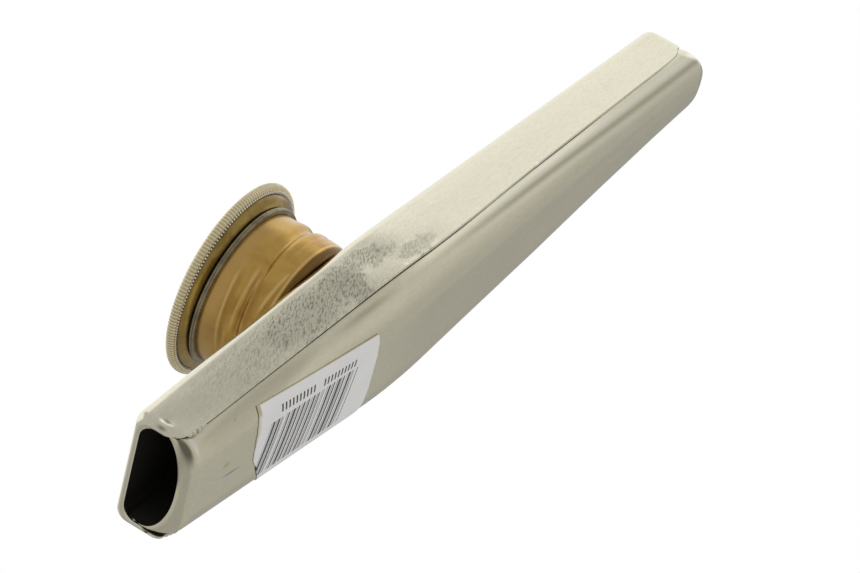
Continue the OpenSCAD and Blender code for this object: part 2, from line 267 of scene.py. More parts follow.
def trough_marks(x, y, z):
    """The pinch at the mouth, and the waves and long lines that pressing leaves."""
    worn = 0.02 * wave(x / 9, y / 6, z / 6)
    drawn = 0.09 * wave(x / 60, (z - abs(y)) / 1.6, 4.0)
    return pushed((x, y, z), PINCH) + worn + drawn * min(1.0, max(0.15, (x - 50) / 30))


ribs = ribs_along(0.8, 14)
trough_grid = np.array([trough_outside(rib) for rib in ribs])
trough = pressed_sheet("trough", dented(trough_grid, trough_marks))


class Socket:
    """A socket in a tree of nodes. Sums and products of these add the Math nodes for them."""

    def __init__(self, tree, socket=None):
        self.tree, self.socket = tree, socket

    def node(self, kind, inputs, output=0, **settings):
        made = self.tree.nodes.new(kind)
        for key, value in settings.items():
            setattr(made, key, value)
        for key, value in inputs.items():
            if isinstance(value, Socket):
                self.tree.links.new(value.socket, made.inputs[key])
            else:
                made.inputs[key].default_value = value
        return Socket(self.tree, made.outputs[output])

    def math(self, operation, *values):
        return self.node("ShaderNodeMath", dict(enumerate(values)), operation=operation)

    def __add__(self, other):
        return self.math("ADD", self, other)

    def __sub__(self, other):
        return self.math("SUBTRACT", self, other)

    def __rsub__(self, other):
        return self.math("SUBTRACT", other, self)

    def __mul__(self, other):
        return self.math("MULTIPLY", self, other)

    def __truediv__(self, other):
        return self.math("DIVIDE", self, other)

    __radd__, __rmul__ = __add__, __mul__

    def vector(self, x, y, z):
        return self.node("ShaderNodeCombineXYZ", {"X": x, "Y": y, "Z": z})

    def parts(self):
        return [self.node("ShaderNodeSeparateXYZ", {0: self}, output=k) for k in "XYZ"]

    def at_least(self, other):
        return self.math("MAXIMUM", self, other)

    def rising(self, low, high):
        """0 below low, 1 above high, and smooth between; low above high turns it round."""
        return self.node("ShaderNodeMapRange", {0: self, 1: low, 2: high},
                         interpolation_type="SMOOTHSTEP")

    def hill(self, centre, reach):
        """1 at a centre, falling smoothly to 0 at a reach either side."""
        return self.math("ABSOLUTE", self - centre).rising(reach, 0)

    def stretched(self, scale, turn=(0, 0, 0)):
        return self.node("ShaderNodeMapping", {"Vector": self, "Scale": scale, "Rotation": turn})

    def noise(self, scale, detail=3, rough=0.5, twist=0.0):
        return self.node("ShaderNodeTexNoise", {"Vector": self, "Scale": scale, "Detail": detail,
                                                "Roughness": rough, "Distortion": twist})

    def tint(self, low, high):
        """The colour between two others at this share."""
        pair = [c if isinstance(c, Socket) else (*c, 1) for c in (low, high)]
        return self.node("ShaderNodeMix", {0: self, 6: pair[0], 7: pair[1]}, output=2, data_type="RGBA")


def finish(name, build):
    """A material whose build(surface) returns the sockets of its shader and its bump height.
    Bump is (height, how deep height 1 is in millimetres)."""
    material = bpy.data.materials.new(name)
    material.use_nodes = True
    tree = material.node_tree
    shader = tree.nodes["Principled BSDF"]
    surface = Socket(tree)
    sockets = build(surface)
    height, deep = sockets.pop("Bump", (None, 0))
    if height is not None:
        sockets["Normal"] = surface.node("ShaderNodeBump", {"Height": height, "Distance": deep * MM})
    for key, value in sockets.items():
        if isinstance(value, Socket):
            tree.links.new(value.socket, shader.inputs[key])
        else:
            shader.inputs[key].default_value = value
    return material


def place_of(surface):
    """Object coordinates in millimetres, as a vector and as x, y and z."""
    point = surface.node("ShaderNodeTexCoord", {}, output="Object")
    point = surface.node("ShaderNodeVectorMath", {0: point, "Scale": 1 / MM}, operation="SCALE")
    return (point, *point.parts())


def dress(piece, material):
    piece.data.materials.clear()
    piece.data.materials.append(material)


def patch(across, up, centre, reach):
    """A soft oval mask on a plane of two coordinates."""
    a, b = (across - centre[0]) / reach[0], (up - centre[1]) / reach[1]
    return (a * a + b * b).rising(1.0, 0.15)


# The tone of the tin's stains, also used for painted shade, and the near-black painted as shade inside the
# tube
TIN_STAIN_AND_SHADE, TIN_INSIDE_SHADE = (0.38, 0.355, 0.26), (0.035, 0.032, 0.026)


def tinplate(name, seed, tones, marks):
    """Rolled tinplate: faint grain along the sheet, cloudy patches, fine pits, and an inside painted dark
    as shade but near the outlet's end.
    The tones are grey, bright and warm. Each of marks is (a mask, its colour, how deep it is cut)."""

    def build(surface):
        point, x, y, z = place_of(surface)
        moved = surface.node("ShaderNodeVectorMath", {0: point, 1: (seed, 0, 0)}, operation="ADD")
        grain = moved.stretched((0.35, 3.2, 3.2)).noise(1.0, 4, 0.6)
        streak = moved.stretched((0.09, 2.0, 2.0)).noise(1.0, 3, 0.55)
        cloud = moved.noise(0.11, 4, 0.6, 0.6)
        mottle = moved.stretched((0.8, 3.0, 3.0)).noise(1.0, 5, 0.75)
        pits = moved.noise(2.6, 2, 0.5).rising(0.68, 0.80)
        inside = surface.node("ShaderNodeAttribute", {}, output="Fac", attribute_name="inside")
        inside = inside.rising(0.4, 0.9)
        grey, bright, warm = tones
        shade = cloud.tint(grey, bright)
        shade = streak.rising(0.35, 0.75).tint(shade, warm)
        shade = (mottle.rising(0.62, 0.3) * 0.13).tint(shade, TIN_STAIN_AND_SHADE)
        shade = (pits * 0.3).tint(shade, TIN_STAIN_AND_SHADE)
        height = grain * 0.3 + mottle * 0.35 + streak * 0.35 - pits * 0.4
        for mask, colour, dip in marks(surface, x, y, z):
            shade = mask.tint(shade, colour)
            height = height - mask * dip
        # Painted shade: the sheet's inside is painted dark as the shade in the tube, fading out near the
        # outlet's open end
        inside_shade = inside * x.rising(PLATE_LEN - MID + 1.5, PLATE_LEN - MID - 9)
        shade = inside_shade.tint(shade, TIN_INSIDE_SHADE)
        return {
            "Base Color": shade,
            "Metallic": 1 - inside_shade * 0.6,
            "Roughness": 0.17 + cloud * 0.06 + grain * 0.04 + inside * 0.2 + inside_shade * 0.2,
            "Bump": (height, 0.006),
        }

    return finish(name, build)


def scratch(x, across, start, end, wide):
    """A mask along the straight scratch from start to end on a plane of two coordinates."""
    (ax, ay), (bx, by) = start, end
    length = math.hypot(bx - ax, by - ay)
    ux, uy = (bx - ax) / length, (by - ay) / length
    along = (x - ax) * ux + (across - ay) * uy
    off = (across - ay) * ux - (x - ax) * uy
    return off.hill(0, wide) * along.hill(length / 2, length * 0.6)


# Tones of the painted highlight beside the seam, the painted highlight on crests, and the painted shade in
# the pinch
SEAM_HIGHLIGHT_TIN, CREST_HIGHLIGHT, PINCH_SHADE = (0.99, 0.97, 0.86), (0.99, 0.97, 0.90), (0.12, 0.11, 0.08)
GLUE_YELLOW, SPECK_BROWN = (0.60, 0.50, 0.16), (0.40, 0.36, 0.28)


def trough_wear(surface, x, y, z):
    """Painted shade in the pinch beside the mouth and a painted highlight on its crest, scratches, old
    glue, a speck, a dull patch, and painted highlight and shade bands beside the seam.
    """
    below = z.rising(3.2, 2.0)
    on_left = y.rising(0, -2)
    long_scratch = scratch(x, y, (6.5 - MID, -0.15), (10.8 - MID, 0.1), 0.3) * below
    glue = patch(x, y, (7.1 - MID, -2.04), (0.8, 0.6)) * below
    x, z = x + MID, z - PLATE_Z
    speck = patch(x, z, (9.5, -8.4), (0.3, 0.22)) * on_left
    drag = scratch(x, z, (30, -8.6), (44, -9.1), 0.6) * on_left
    # Painted shade in the pinch's groove and a painted highlight on the ridge behind it
    fold = patch(x, z, (0.9, -7.2), (0.5, 1.8)) * on_left
    crest = patch(x, z, (1.9, -7.5), (0.5, 1.4)) * on_left
    dull = patch(x, z, (14, -8.4), (15, 1.3)) * on_left
    # Painted highlight bands and a painted shade band beside the seam, standing for the reflections on the
    # corner's shallow pressed crease, strongest towards the outlet
    under = z + 6.4 + (PLATE_LEN - x) * 0.021
    far = x.rising(45, 80)
    seam_highlight = (under.hill(-0.45, 0.6) + under.hill(-1.8, 0.4) * 0.5) * far
    seam_shade = under.hill(-1.25, 0.45) * far
    return [(seam_highlight * 0.6, SEAM_HIGHLIGHT_TIN, 0.0), (seam_shade * 0.6, TIN_STAIN_AND_SHADE, 0.0), (dull * 0.35, TIN_STAIN_AND_SHADE, 0.0),
            (long_scratch * 0.9, TIN_STAIN_AND_SHADE, 1.0), (glue * 0.55, GLUE_YELLOW, -0.4),
            (speck * 0.4, SPECK_BROWN, 1.0), (drag * 0.5, TIN_STAIN_AND_SHADE, 0.3),
            (fold * 0.9, PINCH_SHADE, 0.0), (crest * 0.6, CREST_HIGHLIGHT, 0.0)]


TROUGH_TONES = (0.76, 0.725, 0.555), (0.86, 0.81, 0.63), (0.82, 0.765, 0.56)
dress(trough, tinplate("trough_tin", 0.0, TROUGH_TONES, trough_wear))
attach(trough, "kazoo_body")
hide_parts("lower_shell")

# Top shell. A flat tapering plate with its long edges folded down over the trough's sides, and
# its ends rolled in as the upper half of each lip. A round hole under the turret lets air through.
SOUND_HOLE_R, DRILL_LEN = 7.4, 6.0
TURRET_X = 39.0 - MID


def at_turret(x, y, z):
    """A place measured from the turret's axis and the plate, in metres in the object's frame."""
    return (TURRET_X + x) * MM, y * MM, (PLATE_Z + z) * MM


def top_outside(station):
    x, turn, end = station
    s = section(x, turn, end, 0.0)
    w, r, top = s["w"], s["upper_r"], s["top"]
    path = (line((-w, s["seam"]), (-w, top - r), 16)[:-1]
            + arc(r - w, top - r, r, r, 180, 90, 7)
            + line((r - w, top), (w - r, top), 14)[1:-1]
            + arc(w - r, top - r, r, r, 90, 0, 7)
            + line((w, top - r), (w, s["seam"]), 16)[1:])
    return [in_place(s["x"], y, z) for y, z in path]


# Soft dents that handling left in the near flange, and the corner crumpled where it folds in at
# the mouth
DENTS = [((45.6, -3.3), (3.4, 2.2), -0.12), ((53.0, -6.8), (3.6, 1.5), -0.08)]
CRUMPLE = [((0.9, -8.1, -3.8), (0.3, 0.9, 0.7), 0.15), ((1.6, -8.2, -3.7), (0.35, 0.9, 0.8), -0.18)]
# The far flange has the same dents, this much nearer to the mouth and this much of their depth
FAR_SHIFT, FAR_SHARE = 9.0, 0.5
# How far each flange stands in just under its fold, which gives it a slight crown
CROWN = 0.12


def buckle(x, y, z):
    """How far handling has pushed a flange out: its dents, a soft ridge across it and waves."""
    x, amount = (x + FAR_SHIFT, FAR_SHARE) if y > 0 else (x, 1.0)
    ridge = math.exp(-((x - 41.0 - 0.15 * (z + 4)) / 2.0) ** 2) * math.exp(-((z + 4.6) / 3.2) ** 4)
    push = pushed((x, z), DENTS) + 0.05 * ridge
    broad = wave(x / 7, z / 4, y / 9 + 3.1)
    return amount * push + 0.03 * broad * math.exp(-((x - 30) / 30) ** 4)


def top_marks(x, y, z):
    """The flange's creases and slight crown, and the crumpled corner."""
    side = min(1.0, max(0.0, -z / 1.4 - 0.3))
    share = min(1.0, max(0.0, (z + 3.6) / 2.3))
    past_lip = min(1.0, max(0.0, min(x, PLATE_LEN - x) - LIP_LEN) / 6)
    crown = CROWN * share ** 2 * min(1.0, -z / EDGE_R) * past_lip
    return buckle(x, y, z) * side + pushed((x, y, z), CRUMPLE) - crown


top_grid = np.array([top_outside(rib) for rib in ribs])
top_shell = pressed_sheet("top_shell", dented(top_grid, top_marks))


def drilled(piece):
    """The piece with the sound hole through it on the turret's axis."""
    bm = bmesh.new()
    bmesh.ops.create_cone(bm, cap_ends=True, segments=96, radius1=SOUND_HOLE_R * MM,
                          radius2=SOUND_HOLE_R * MM, depth=DRILL_LEN * MM,
                          matrix=Matrix.Translation(at_turret(0, 0, 0)))
    drill = finished("drill", bm)
    cut = piece.modifiers.new("hole", "BOOLEAN")
    cut.object, cut.operation, cut.solver = drill, "DIFFERENCE", "EXACT"
    apply_modifiers(piece)
    bpy.data.objects.remove(drill)


def apply_modifiers(piece):
    """Turns what the piece's modifiers make of it into its plain mesh."""
    graph = bpy.context.evaluated_depsgraph_get()
    plain = bpy.data.meshes.new_from_object(piece.evaluated_get(graph))
    piece.modifiers.clear()
    old = piece.data
    piece.data = plain
    bpy.data.meshes.remove(old)


drilled(top_shell)

# Patches of painted shade on the flanges, where they show darker: each patch's place along the body and
# down from the plate, its reach each way, and how strong it is
SHADE_PATCHES = [((29.5, -4.2), (8.4, 4.6), 1.0), ((38.1, -4.6), (3.4, 4.4), 1.2),
          ((14.0, -4.2), (17.0, 4.6), 0.5), ((51.5, -6.6), (4.6, 1.9), 1.0)]
CHIPS = [((79.7, -7.35), (0.6, 0.4)), ((47.1, -7.75), (0.5, 0.35))]
# The painted shade of the folds, the chips' tone, the strokes' tone and the painted shade of the patches
FOLD_SHADE, CHIP_PALE = (0.14, 0.13, 0.095), (0.92, 0.9, 0.82)
STROKE_DARK, PATCH_SHADE = (0.20, 0.19, 0.14), (0.40, 0.39, 0.31)


def top_wear(surface, x, y, z):
    """Short slanting strokes where the folding stretched the flange, painted shade over patches and a dent,
    pale chips, a painted shade line under the top edge, and the crumpled corner's painted shade and
    highlight.
    """
    x, z = x + MID, z - PLATE_Z
    along, across = x * 0.9 + z * 0.43, z * 0.9 - x * 0.43
    slant = surface.vector(along * 1.2, across * 5.2, y * 0.5)
    strokes = slant.noise(1.0, 4, 0.65, 0.35).rising(0.42, 0.62)
    side = z.rising(-1.0, -2.0)
    run = x.rising(0, 24) * x.rising(62, 42)
    place = surface.vector(x * 0.35, z * 0.5, y)
    u = x + (place.noise(1.0, 4, 0.65) - 0.5) * 9
    v = z + (place.noise(1.7, 4, 0.65) - 0.5) * 4
    shade_patches = sum(patch(u, v, centre, reach) * strength for centre, reach, strength in SHADE_PATCHES)
    # A painted shade line under the highlight of the top edge's rounding
    edge_shade_line = scratch(x, z, (4.0, -1.75), (27.0, -1.75), 0.6)
    dent_shade = patch(u, v + (u - 44) * 0.22, (44.4, -3.3), (5.0, 2.3)) * 1.2
    on_left = y.rising(0, -2)
    # grey is the painted shade of the patches and the dent, strongest on the near flange
    grey = surface.math("MINIMUM", 1.0, shade_patches + dent_shade) * (on_left * 0.65 + 0.35)
    # Painted shade along the crumple's two folds and a painted highlight on the crest between them
    fold = scratch(x, z, (0.35, -2.9), (0.3, -4.7), 0.35) + scratch(x, z, (1.7, -3.0), (1.5, -4.6), 0.4)
    crest = scratch(x, z, (1.0, -2.9), (0.85, -4.6), 0.35) * on_left
    chips = sum(patch(x, z, centre, reach) for centre, reach in CHIPS) * on_left
    return [(grey * side * 0.42, PATCH_SHADE, 0.0),
            (strokes * side * (run * (0.16 + grey * 0.54) + 0.03), STROKE_DARK, 1.2),
            (chips, CHIP_PALE, -0.5), (edge_shade_line * 0.35, TIN_STAIN_AND_SHADE, 0.0),
            (fold * on_left * 0.7, FOLD_SHADE, 0.0), (crest * 0.7, CREST_HIGHLIGHT, 0.0)]


TOP_TONES = (0.80, 0.77, 0.615), (0.90, 0.86, 0.70), (0.86, 0.81, 0.63)
dress(top_shell, tinplate("top_tin", 37.0, TOP_TONES, top_wear))
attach(top_shell, "kazoo_body")
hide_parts("upper_shell")

# Solder. A few half-bright drops run along the seam just behind the mouth, on both sides, and
# hold the flanges to the trough.
SOLDER_BRIGHT, SOLDER_DIRT = (0.72, 0.68, 0.58), (0.24, 0.18, 0.11)
# Each drop's place along the body and its radius
SOLDER_DROPS = [(1.9, 0.34), (2.6, 0.42), (3.3, 0.50), (4.0, 0.42), (4.6, 0.28)]
solder_bm = bmesh.new()
for side in (-1, 1):
    for number, (x, r) in enumerate(SOLDER_DROPS):
        low = -flange_edge(x) - r * 0.25
        wall = half_width(x) - 0.35
        drop = bmesh.ops.create_icosphere(solder_bm, subdivisions=3, radius=r * MM)
        for v in drop["verts"]:
            lump = 1 + 0.22 * noise.noise(v.co / MM * 1.9 + Vector((number * 3.7, side, 0)))
            v.co = Vector((v.co.x * 1.2, v.co.y * 0.55, v.co.z * 0.85)) * lump
            v.co += Vector(in_place(x, side * wall, low)) * MM
solder = finished("solder", solder_bm, 80)


def solder_build(surface):
    point, *_ = place_of(surface)
    lumps = point.noise(2.2, 4, 0.6)
    dirt = point.noise(1.3, 3).rising(0.45, 0.7)
    return {"Base Color": dirt.tint(SOLDER_BRIGHT, SOLDER_DIRT), "Metallic": 1.0,
            "Roughness": 0.24 + dirt * 0.3, "Bump": (lumps, 0.09)}


dress(solder, finish("solder_metal", solder_build))
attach(solder, "kazoo_body")
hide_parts("solder_tacks")

# Collar. A short tube of thin sheet under amber lacquer, with a right-handed thread rolled into
# its wall and its foot curled in where it sits on the top plate, round the sound hole.
COLLAR_R, COLLAR_H, FOOT_CURL, THIN = 10.5, 9.5, 1.5, 0.3
PITCH, THREAD_DEPTH, THREAD_START = 2.7, 0.4, math.radians(15)
THREAD_FROM, THREAD_TO, FADE_LEN = 2.5, 6.8, 1.0
FOOT_HOLE_R = 7.6


def groove(angle, z):
    """Depth of the rolled groove from 0 to 1, a little narrower than the ridge beside it."""
    return ((1 + math.cos(2 * math.pi * z / PITCH - angle - THREAD_START)) / 2) ** 1.6


def fade(z):
    t = max(0.0, min(1.0, (z - THREAD_FROM) / FADE_LEN, (THREAD_TO - z) / FADE_LEN))
    return t * t * (3 - 2 * t)


# Sharp creases that the rolling left: each runs from an angle and height to another, and stands
# out. Then the bands of the thread's run-in, each with its height, how far it stands out and its
# half width, and the run-in's angle and reach
CREASES = [(-119, 7.3, -200, 6.05, 0.12), (-113, 5.1, -182, 4.75, 0.11),
           (-118, 4.5, -176, 3.5, 0.11), (-108, 1.3, -156, 2.3, 0.09)]
RUN_IN = [(6.35, 0.12, 0.9), (4.95, -0.10, 0.8), (3.5, 0.14, 1.0)]
RUN_IN_AT, RUN_IN_REACH = -52, 34


def creased(angle, z):
    """How far the creases push the collar's wall out at a place."""
    degrees = math.degrees(angle) - 360
    push = 0.0
    for start, low, end, high, tall in CREASES:
        share = (degrees - start) / (end - start)
        if 0 < share < 1:
            above = z - blend(low, high, share)
            crest = math.exp(-(above / 0.28) ** 2) - 1.1 * math.exp(-((above + 0.65) / 0.45) ** 2)
            push += tall * crest * math.sin(math.pi * share) ** 0.5
    # The thread's run-in, pressed deepest on the side towards the outlet
    run_in = math.exp(-((degrees - RUN_IN_AT) / RUN_IN_REACH) ** 2)
    for centre, tall, half in RUN_IN:
        push += tall * run_in * math.exp(-((z - centre) / half) ** 2)
    return push


def collar_wall(angle, z):
    return COLLAR_R - THREAD_DEPTH * groove(angle, z) * fade(z) + creased(angle, z)


def turned(name, profile, steps, sharp=38):
    """A closed skin of profile(angle), a list of (radius, height), turned about the turret's axis."""
    bm = bmesh.new()
    rings = []
    for k in range(steps):
        angle = 2 * math.pi * k / steps
        rings.append([bm.verts.new(at_turret(r * math.cos(angle), r * math.sin(angle), z))
                      for r, z in profile(angle)])
    for ring, after in zip(rings, rings[1:] + rings[:1]):
        band(bm, ring, after)
    return finished(name, bm, sharp)


def collar_profile(angle):
    foot_r, inner = COLLAR_R - FOOT_CURL, FOOT_CURL - THIN
    walls = np.linspace(FOOT_CURL, COLLAR_H, 76)
    return ([(FOOT_HOLE_R, 0.0), (FOOT_HOLE_R + THIN, 0.0)]
            + arc(foot_r, FOOT_CURL, FOOT_CURL, FOOT_CURL, -90, 0, 8)
            + [(collar_wall(angle, z), z) for z in walls[1:]]
            + [(collar_wall(angle, z) - THIN, z) for z in walls[:0:-1]]
            + arc(foot_r, FOOT_CURL, inner, inner, 0, -90, 8)
            + [(FOOT_HOLE_R + THIN, THIN), (FOOT_HOLE_R, THIN * 0.6)])


collar = turned("collar_tube", collar_profile, 240)

AMBER, AMBER_DEEP_AND_SHADE, AMBER_PALE = (0.64, 0.395, 0.095), (0.38, 0.20, 0.035), (0.60, 0.375, 0.12)
# The painted highlight on the creases and the foot's curl, and the painted shadow at the foot
GOLD_HIGHLIGHT, FOOT_SHADOW = (0.90, 0.64, 0.26), (0.14, 0.065, 0.012)


def turret_place(surface):
    """The place, a vector for patterns that run round the turret, and its parts: the angle in
    radians from the mouth's side, the height above the plate and the radius from the axis."""
    point, x, y, z = place_of(surface)
    x, z = x - TURRET_X, z - PLATE_Z
    radius = surface.math("SQRT", x * x + y * y)
    angle = surface.math("ARCTAN2", 0 - y, 0 - x)
    return point, surface.vector(angle * 10, z, radius), angle, z, radius


def collar_build(surface):
    """Amber lacquer on tin: drawn lines up the wall, and a deeper tone where it pooled. It turns paler
    towards the mouth, has painted highlights on the creases with painted shade under them, a painted
    highlight on the foot's curl and painted shadow at the foot."""
    point, around, angle, z, _ = turret_place(surface)
    drawn = around.stretched((5.0, 0.25, 0.25)).noise(1.0, 3, 0.6)
    pool = point.noise(0.22, 4, 0.55, 0.4)
    fine = around.stretched((0.5, 5.0, 5.0)).noise(1.0, 3, 0.6)
    shade = pool.rising(0.35, 0.8).tint(AMBER, AMBER_DEEP_AND_SHADE)
    shade = z.rising(5.5, COLLAR_H).tint(shade, AMBER_PALE)
    shade = (drawn.rising(0.5, 0.8) * 0.3).tint(shade, AMBER_PALE)
    degrees = angle * math.degrees(1) - 180
    # Painted shade in a band under each crease, and a painted highlight on its crest
    for start, at_start, end, at_end, _ in CREASES:
        share = (degrees - start) / (end - start)
        over = z - (share * (at_end - at_start) + at_start)
        here = share.hill(0.5, 0.5).rising(0, 0.5)
        shade = (over.hill(-0.5, 0.6) * here * 0.55).tint(shade, AMBER_DEEP_AND_SHADE)
        shade = (over.hill(0.08, 0.36) * here * 0.55).tint(shade, GOLD_HIGHLIGHT)
    # A painted highlight along the foot's curl, and painted shadow below it where the foot meets the plate
    shade = (z.hill(1.05, 0.25) * 0.6).tint(shade, GOLD_HIGHLIGHT)
    shade = (z.rising(0.95, 0.7) * 0.85).tint(shade, FOOT_SHADOW)
    return {"Base Color": shade, "Metallic": 1.0,
            "Roughness": 0.22 + pool * 0.1 + drawn * 0.06, "Coat Weight": 0.3,
            "Coat Roughness": 0.2, "Bump": (drawn * 0.5 + fine * 0.3 + pool * 1.5, 0.008)}


dress(collar, finish("collar_gold", collar_build))
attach(collar, "kazoo_body")
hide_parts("collar")

# Bead ring. Bare grey tin, rolled to a double bead and pressed over the collar's mouth, where it
# stiffens the edge under the cap's flare.
RING_R, RING_TOP, RING_FLANGE = 11.2, 9.84, 0.3
RING_H, BEAD_R, RING_FIT = 0.7, 0.19, 0.04


def ring_profile(_):
    bead_at, bore, neck = RING_R - BEAD_R, COLLAR_R + RING_FIT, COLLAR_R - THIN
    under = RING_TOP - RING_FLANGE
    return (arc(bead_at, RING_TOP - BEAD_R, BEAD_R, BEAD_R, 90, -50, 7)
            + arc(bead_at, RING_TOP - RING_H + BEAD_R, BEAD_R, BEAD_R, 50, -100, 7)
            + [(bore, RING_TOP - RING_H + 0.02), (bore, under), (neck, under),
               (neck - 0.03, RING_TOP - 0.15), (neck + RING_FIT, RING_TOP)])


bead_ring = turned("bead_ring_tin", ring_profile, 192, 60)

GREY_TIN, DULL_TIN = (0.36, 0.325, 0.235), (0.22, 0.19, 0.125)


def grey_build(surface):
    point, around, *_ = turret_place(surface)
    fine = around.stretched((0.8, 6, 6)).noise(1.0, 4, 0.6)
    dull = point.noise(0.5, 3).rising(0.35, 0.7)
    return {"Base Color": dull.tint(GREY_TIN, DULL_TIN), "Metallic": 1.0,
            "Roughness": 0.3 + dull * 0.12, "Bump": (fine, 0.015)}


grey_tin = finish("grey_tin", grey_build)
dress(bead_ring, grey_tin)
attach(bead_ring, "kazoo_body")
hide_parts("bead_ring")

# Membrane. A disc of thin waxed film, a little slack, held at its edge in a folded tin ring that
# the cap presses on to the collar's foot.
MEMBRANE_R, MEMBRANE_T, SLACK_R = 8.4, 0.15, 7.5
# The seal is the ring, and its seat is how high it sits above the plate
SEAL_R, SEAL_BORE_R, SEAL_H, SEAL_SEAT = 8.8, 7.7, 0.8, 0.33
MEMBRANE_Z = SEAL_SEAT + SEAL_H / 2
FILM_RINGS, FILM_STEPS = 26, 96


def membrane_sag(x, y):
    edge = max(0.0, 1 - (x * x + y * y) / SLACK_R ** 2)
    ripple = wave(x / 2.3, y / 2.3, 5.0) + 0.5 * wave(x, y, 9.0)
    return 0.16 * ripple * min(1.0, 2.5 * edge)


def film_piece():
    """The two faces of the film, each a hub and rings about it, and the band round their edge."""
    bm = bmesh.new()
    edges = []
    for half in (MEMBRANE_T / 2, -MEMBRANE_T / 2):
        hub = bm.verts.new(at_turret(0, 0, MEMBRANE_Z + half))
        last = None
        for i in range(1, FILM_RINGS + 1):
            r = MEMBRANE_R * i / FILM_RINGS
            ring = [bm.verts.new(at_turret(x, y, MEMBRANE_Z + half + membrane_sag(x, y)))
                    for x, y in arc(0, 0, r, r, 0, 360, FILM_STEPS)[:-1]]
            if last:
                band(bm, last, ring)
            else:
                for a, b in zip(ring, ring[1:] + ring[:1]):
                    bm.faces.new((hub, b, a))
            last = ring
        edges.append(last)
    band(bm, *edges)
    return finished("membrane_film", bm, 60)


membrane = film_piece()
WAX_CLEAR, WAX_MILKY = (0.86, 0.80, 0.64), (0.93, 0.91, 0.83)


def film_build(surface):
    point, *_ = place_of(surface)
    fibre = point.stretched((1.6, 0.5, 1.0), (0, 0, 0.5)).noise(1.2, 5, 0.65)
    cloud = point.noise(0.35, 3)
    return {"Base Color": (fibre * 0.6 + cloud * 0.4).tint(WAX_CLEAR, WAX_MILKY),
            "Roughness": 0.38 + cloud * 0.15, "Subsurface Weight": 0.15,
            "Subsurface Radius": (0.002, 0.0018, 0.0014), "Coat Weight": 0.3,
            "Bump": (fibre * 0.5 + cloud, 0.05)}


dress(membrane, finish("waxed_film", film_build))
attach(membrane, "membrane_disc")
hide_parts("membrane")


def membrane_ring_profile(_):
    inner, outer, b, gap = SEAL_BORE_R, SEAL_R, 0.12, 0.03
    low, top = SEAL_SEAT, SEAL_SEAT + SEAL_H
    slot_low, slot_top = MEMBRANE_Z - MEMBRANE_T / 2 - gap, MEMBRANE_Z + MEMBRANE_T / 2 + gap
    slot_r = MEMBRANE_R + gap
    return [(inner + b, low), (outer - b, low), (outer, low + b), (outer, top - b), (outer - b, top),
            (inner + b, top), (inner, top - b), (inner, slot_top), (slot_r, slot_top), (slot_r, slot_low),
            (inner, slot_low), (inner, low + b)]


membrane_ring = turned("membrane_ring_tin", membrane_ring_profile, 144)
dress(membrane_ring, grey_tin)
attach(membrane_ring, "membrane_disc")
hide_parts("membrane_ring")

# Screw cap. One sheet of lacquered tin, spun: a turned-in end that presses on the membrane's
# ring, a skirt with the collar's thread, a hollow flare, and a hem rolled back under and knurled.
CAP_HOLE_R, THREAD_GAP, PRESS_GAP = 8.0, 0.2, 0.12
RIM_R, RIM_TOP, HEM_W, HEM_H = 13.4, 12.2, 1.0, 1.3
RIM_LIFT, LIFTED_AT = 0.3, math.radians(-45)
SKIRT_ROOT = COLLAR_R - THIN - THREAD_DEPTH - THREAD_GAP
SKIRT_END = SEAL_SEAT + SEAL_H + PRESS_GAP
FLARE_Z = RING_TOP + 0.07
HEM_R, HEM_Z = RIM_R - HEM_W / 2, RIM_TOP - HEM_H / 2


def warped(r, angle, z):
    """A height on the cap, with the slight bend that has lifted one side of the rim."""
    out = max(0.0, r - RING_R) / (RIM_R - RING_R)
    return z + RIM_LIFT * out * math.cos(angle - LIFTED_AT)


def skirt(angle, z):
    return SKIRT_ROOT + THREAD_DEPTH * (1 - groove(angle, z)) * fade(z)


def smooth_path(points, steps):
    """Points on a smooth curve through the given ones."""
    pts = [np.array(p) for p in points]
    pts = [2 * pts[0] - pts[1]] + pts + [2 * pts[-1] - pts[-2]]
    path = []
    for a, b, c, d in zip(pts, pts[1:], pts[2:], pts[3:]):
        for i in range(steps):
            t = i / steps
            path.append(tuple(0.5 * (2 * b + (c - a) * t + (2 * a - 5 * b + 4 * c - d) * t ** 2
                                     + (3 * b - a - 3 * c + d) * t ** 3)))
    path.append(tuple(pts[-2]))
    return path


brink = (HEM_R - 0.42 * HEM_W, HEM_Z - 0.3 * HEM_H)
cove = RING_R - 0.2


def on_flare(out, up, above=0.0):
    """A point on the flare, at a share of the way out and up from the cove to the brink."""
    return blend(cove, brink[0], out), blend(FLARE_Z, brink[1], up) + above


flare_under = smooth_path(
    [(SKIRT_ROOT + 0.15, FLARE_Z - 0.1), (SKIRT_ROOT + 0.5, FLARE_Z), (cove, FLARE_Z + 0.05),
     on_flare(0.5, 0.28), on_flare(0.85, 0.66), (brink[0] + 0.02, brink[1] + 0.22)], 5)
HEM_LIP = 0.16
hem_arc = arc(HEM_R, HEM_Z, HEM_W / 2 - 0.04, HEM_H / 2 - 0.04, -152, 150, 21)
flare_over = smooth_path(
    [(brink[0] - 0.1, HEM_Z), on_flare(0.75, 0.62, THIN), on_flare(0.35, 0.2, THIN),
     (cove - 0.1, FLARE_Z + THIN + 0.03), (SKIRT_ROOT + 0.3, FLARE_Z + THIN),
     (SKIRT_ROOT - 0.15, FLARE_Z + 0.1)], 5)


